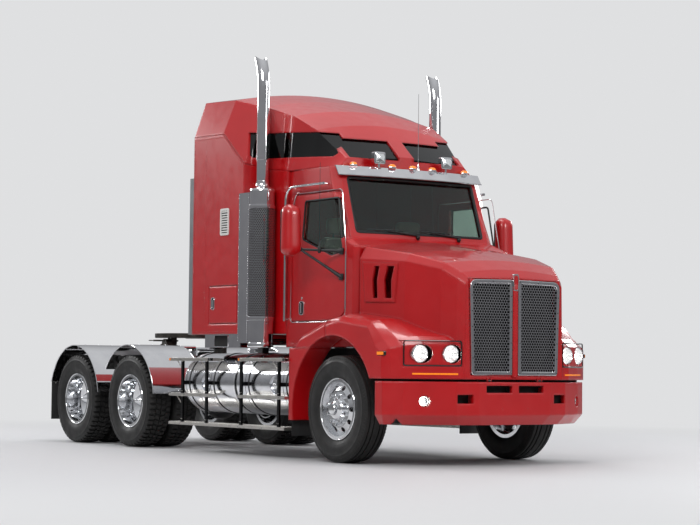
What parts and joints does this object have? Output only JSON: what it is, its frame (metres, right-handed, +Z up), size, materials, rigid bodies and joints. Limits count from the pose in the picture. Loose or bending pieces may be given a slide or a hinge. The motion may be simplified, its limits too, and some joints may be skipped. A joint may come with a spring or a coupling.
{
  "type": "semi truck tractor unit",
  "caption": "Bonneted tractor unit with a high-roof sleeper, tilting bonnet, opening doors, steered front axle, rolling drive bogie and a tilting fifth wheel.",
  "frame": {"origin": "on the ground under the middle of the overall box", "axes": "+X forwards, towards the grille; +Y to the vehicle's left; +Z up"},
  "size_m": [7.31, 2.86, 4.0915],
  "materials": {
    "red_paint": "deep gloss",
    "grey_paint": "satin",
    "black_steel": "satin",
    "chassis_grey": "semi-gloss",
    "polished_steel": "mirror polished",
    "polished_alloy": "polished",
    "tread_plate": "raised pattern",
    "cast_grey": "painted casting",
    "tyre_rubber": "matte",
    "flap_rubber": "matte",
    "clear_glass": "tinted",
    "lamp_lens": "clear",
    "amber_lens": "gloss",
    "trim_plastic": "grained",
    "bunk_fabric": "woven"
  },
  "bodies": {
    "chassis": {"frame_rails": "chassis_grey", "front_axle_beam": "chassis_grey", "suspension": "chassis_grey", "drive_axles": "chassis_grey", "engine_block": "cast_grey", "radiator": "cast_grey", "bumper": "red_paint", "chassis_lamps": "lamp_lens", "cab_shell": "red_paint", "cab_interior": "trim_plastic", "bunk": "bunk_fabric", "fixed_glass": "clear_glass", "sleeper_body": "red_paint", "sleeper_roof": "red_paint", "rear_extenders": "grey_paint", "sun_visor": "polished_steel", "roof_lamps": "amber_lens", "exhausts": "polished_steel", "fuel_tanks": "polished_alloy", "side_steps": "polished_alloy", "rear_quarters": "red_paint", "rear_guards": "polished_steel", "mud_flaps": "flap_rubber", "deck_plate": "tread_plate", "fifth_wheel_base": "black_steel", "grab_rails": "polished_steel"},
    "bonnet": {"bonnet": "red_paint", "grille": "polished_steel", "head_lamps": "lamp_lens"},
    "fifth_wheel": {"fifth_wheel_plate": "black_steel"},
    "door_left": {"door_left": "red_paint", "door_glass_left": "clear_glass", "mirror_left": "red_paint"},
    "locker_left": {"locker_door_left": "red_paint"},
    "knuckle_left": {"knuckle_left": "cast_grey"},
    "wheel_front_left": {"rim_front_left": "polished_alloy", "tyre_front_left": "tyre_rubber"},
    "wheels_rear_1_left": {"rims_rear_1_left": "polished_alloy", "tyres_rear_1_left": "tyre_rubber"},
    "wheels_rear_2_left": {"rims_rear_2_left": "polished_alloy", "tyres_rear_2_left": "tyre_rubber"},
    "door_right": {"door_right": "red_paint", "door_glass_right": "clear_glass", "mirror_right": "red_paint"},
    "locker_right": {"locker_door_right": "red_paint"},
    "knuckle_right": {"knuckle_right": "cast_grey"},
    "wheel_front_right": {"rim_front_right": "polished_alloy", "tyre_front_right": "tyre_rubber"},
    "wheels_rear_1_right": {"rims_rear_1_right": "polished_alloy", "tyres_rear_1_right": "tyre_rubber"},
    "wheels_rear_2_right": {"rims_rear_2_right": "polished_alloy", "tyres_rear_2_right": "tyre_rubber"}
  },
  "joints": [
    {"name": "bonnet_tilt", "type": "hinge", "parent": "chassis", "child": "bonnet", "pos_m": [3.633, 0, 0.802], "axis": [0, 1, 0], "range_deg": [0, 65]},
    {"name": "fifth_wheel_tilt", "type": "hinge", "parent": "chassis", "child": "fifth_wheel", "pos_m": [-2.391, 0, 1.165], "axis": [0, 1, 0], "range_deg": [-12, 12]},
    {"name": "door_left_swing", "type": "hinge", "parent": "chassis", "child": "door_left", "pos_m": [2.206, 0.951, 2], "axis": [0, 0, -1], "range_deg": [0, 70]},
    {"name": "locker_left_swing", "type": "hinge", "parent": "chassis", "child": "locker_left", "pos_m": [0.583, 1.2, 1.55], "axis": [0, 0, -1], "range_deg": [0, 100]},
    {"name": "steer_left", "type": "hinge", "parent": "chassis", "child": "knuckle_left", "pos_m": [2.365, 0.88, 0.515], "axis": [0, 0, 1], "range_deg": [-35, 35]},
    {"name": "roll_front_left", "type": "hinge", "parent": "knuckle_left", "child": "wheel_front_left", "pos_m": [2.365, 1.019, 0.515], "axis": [0, 1, 0], "continuous": true},
    {"name": "roll_rear_1_left", "type": "hinge", "parent": "chassis", "child": "wheels_rear_1_left", "pos_m": [-1.729, 0.9075, 0.515], "axis": [0, 1, 0], "continuous": true},
    {"name": "roll_rear_2_left", "type": "hinge", "parent": "chassis", "child": "wheels_rear_2_left", "pos_m": [-3.054, 0.9075, 0.515], "axis": [0, 1, 0], "continuous": true},
    {"name": "door_right_swing", "type": "hinge", "parent": "chassis", "child": "door_right", "pos_m": [2.206, -0.951, 2], "axis": [0, 0, 1], "range_deg": [0, 70]},
    {"name": "locker_right_swing", "type": "hinge", "parent": "chassis", "child": "locker_right", "pos_m": [0.583, -1.2, 1.55], "axis": [0, 0, 1], "range_deg": [0, 100]},
    {"name": "steer_right", "type": "hinge", "parent": "chassis", "child": "knuckle_right", "pos_m": [2.365, -0.88, 0.515], "axis": [0, 0, 1], "range_deg": [-35, 35]},
    {"name": "roll_front_right", "type": "hinge", "parent": "knuckle_right", "child": "wheel_front_right", "pos_m": [2.365, -1.019, 0.515], "axis": [0, 1, 0], "continuous": true},
    {"name": "roll_rear_1_right", "type": "hinge", "parent": "chassis", "child": "wheels_rear_1_right", "pos_m": [-1.729, -0.9075, 0.515], "axis": [0, 1, 0], "continuous": true},
    {"name": "roll_rear_2_right", "type": "hinge", "parent": "chassis", "child": "wheels_rear_2_right", "pos_m": [-3.054, -0.9075, 0.515], "axis": [0, 1, 0], "continuous": true}
  ],
  "couplings": [
    {"joint": "steer_right", "follows": "steer_left", "ratio": 1}
  ]
}
